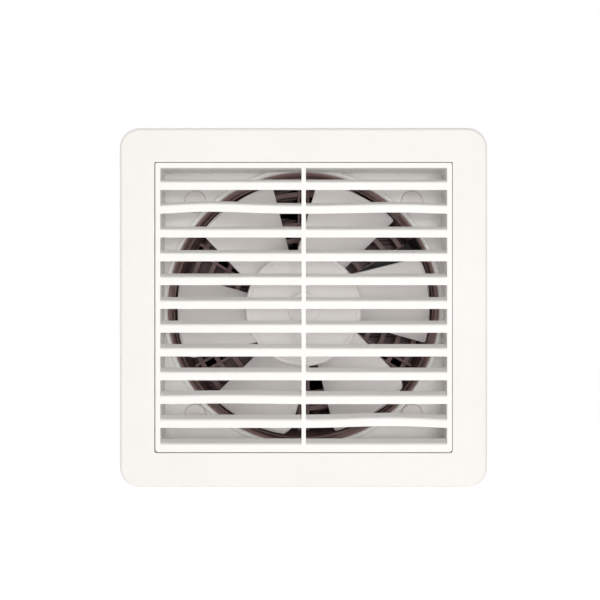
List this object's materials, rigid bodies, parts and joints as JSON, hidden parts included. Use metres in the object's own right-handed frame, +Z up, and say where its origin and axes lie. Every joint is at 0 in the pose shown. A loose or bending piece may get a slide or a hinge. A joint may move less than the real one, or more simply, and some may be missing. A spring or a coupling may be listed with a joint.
{
  "type": "window exhaust fan",
  "caption": "Window exhaust fan: white louvred front frame, grey bladed impeller in a dark round duct, motor on a ring guard, and a rear gravity shutter.",
  "frame": {"origin": "centre of the gasket face that lies against the window pane or wall", "axes": "+X to the right seen from the room, +Y through the window to the outside, +Z up"},
  "size_m": [0.268, 0.147, 0.262],
  "materials": {
    "frame_white": "satin, softly rounded moulding",
    "grille_white": "satin",
    "housing_white": "satin, in the shade of the grille",
    "impeller_grey": "satin",
    "dark_brown_plastic": "matt",
    "black_plastic": "matt",
    "black_enamel": "semi-gloss",
    "zinc_steel": "zinc plated",
    "laminated_steel": "dull, layered",
    "bearing_steel": "ground",
    "copper_wire": "enamelled wire",
    "brass": "turned",
    "foam": "closed-cell foam",
    "grey_sheath": "smooth sheath",
    "cream_nylon": "matt",
    "capacitor_shell": "matt"
  },
  "bodies": {
    "fan_body": {"frame_clips": "zinc_steel", "wall_housing": "housing_white", "foam_gasket": "foam", "screw_caps": "housing_white", "tie_screws": "zinc_steel", "tie_nuts": "zinc_steel", "duct_sleeve": "dark_brown_plastic", "motor_guard": "dark_brown_plastic", "cable_channel": "black_plastic", "motor_lead": "grey_sheath", "terminal_box": "black_plastic", "terminal_box_lid": "black_plastic", "terminal_block": "cream_nylon", "capacitor": "capacitor_shell", "cable_gland": "black_plastic", "box_screws": "zinc_steel", "lid_screws": "zinc_steel", "motor_front_shell": "black_enamel", "motor_rear_shell": "black_enamel", "stator_core": "laminated_steel", "stator_winding": "copper_wire", "front_bearing": "bearing_steel", "rear_bearing": "bearing_steel", "motor_bolts": "zinc_steel", "mount_screws": "zinc_steel", "shutter_frame": "dark_brown_plastic", "rear_screws": "zinc_steel"},
    "front_frame": {"front_frame": "frame_white"},
    "grille": {"louvre_grille": "grille_white"},
    "impeller": {"impeller": "impeller_grey", "hub_insert": "brass", "drive_pin": "zinc_steel", "hub_cap": "impeller_grey", "rotor_shaft": "bearing_steel", "rotor": "laminated_steel"},
    "flap_1": {"flap_1": "dark_brown_plastic"},
    "flap_2": {"flap_2": "dark_brown_plastic"},
    "flap_3": {"flap_3": "dark_brown_plastic"},
    "flap_4": {"flap_4": "dark_brown_plastic"},
    "flap_5": {"flap_5": "dark_brown_plastic"},
    "tie_bar": {"tie_bar": "black_plastic"}
  },
  "joints": [
    {"name": "front_frame_pull", "type": "slide", "parent": "fan_body", "child": "front_frame", "axis": [0, -1, 0], "range_m": [0, 0.05]},
    {"name": "grille_pull", "type": "slide", "parent": "front_frame", "child": "grille", "axis": [0, -1, 0], "range_m": [0, 0.04]},
    {"name": "impeller_spin", "type": "hinge", "parent": "fan_body", "child": "impeller", "pos_m": [0, 0.05, 0], "axis": [0, -1, 0], "continuous": true},
    {"name": "flap_1_swing", "type": "hinge", "parent": "fan_body", "child": "flap_1", "pos_m": [0, 0.115, 0.0979], "axis": [1, 0, 0], "range_deg": [0, 75]},
    {"name": "flap_2_swing", "type": "hinge", "parent": "fan_body", "child": "flap_2", "pos_m": [0, 0.115, 0.05775], "axis": [1, 0, 0], "range_deg": [0, 75]},
    {"name": "flap_3_swing", "type": "hinge", "parent": "fan_body", "child": "flap_3", "pos_m": [0, 0.115, 0.0176], "axis": [1, 0, 0], "range_deg": [0, 75]},
    {"name": "flap_4_swing", "type": "hinge", "parent": "fan_body", "child": "flap_4", "pos_m": [0, 0.115, -0.02255], "axis": [1, 0, 0], "range_deg": [0, 75]},
    {"name": "flap_5_swing", "type": "hinge", "parent": "fan_body", "child": "flap_5", "pos_m": [0, 0.115, -0.0627], "axis": [1, 0, 0], "range_deg": [0, 75]},
    {"name": "tie_bar_pivot", "type": "hinge", "parent": "flap_1", "child": "tie_bar", "pos_m": [0.0978, 0.10679, 0.1001], "axis": [1, 0, 0], "range_deg": [-75, 0]}
  ],
  "couplings": [
    {"joint": "flap_2_swing", "follows": "flap_1_swing", "ratio": 1},
    {"joint": "flap_3_swing", "follows": "flap_1_swing", "ratio": 1},
    {"joint": "flap_4_swing", "follows": "flap_1_swing", "ratio": 1},
    {"joint": "flap_5_swing", "follows": "flap_1_swing", "ratio": 1},
    {"joint": "tie_bar_pivot", "follows": "flap_1_swing", "ratio": -1}
  ]
}
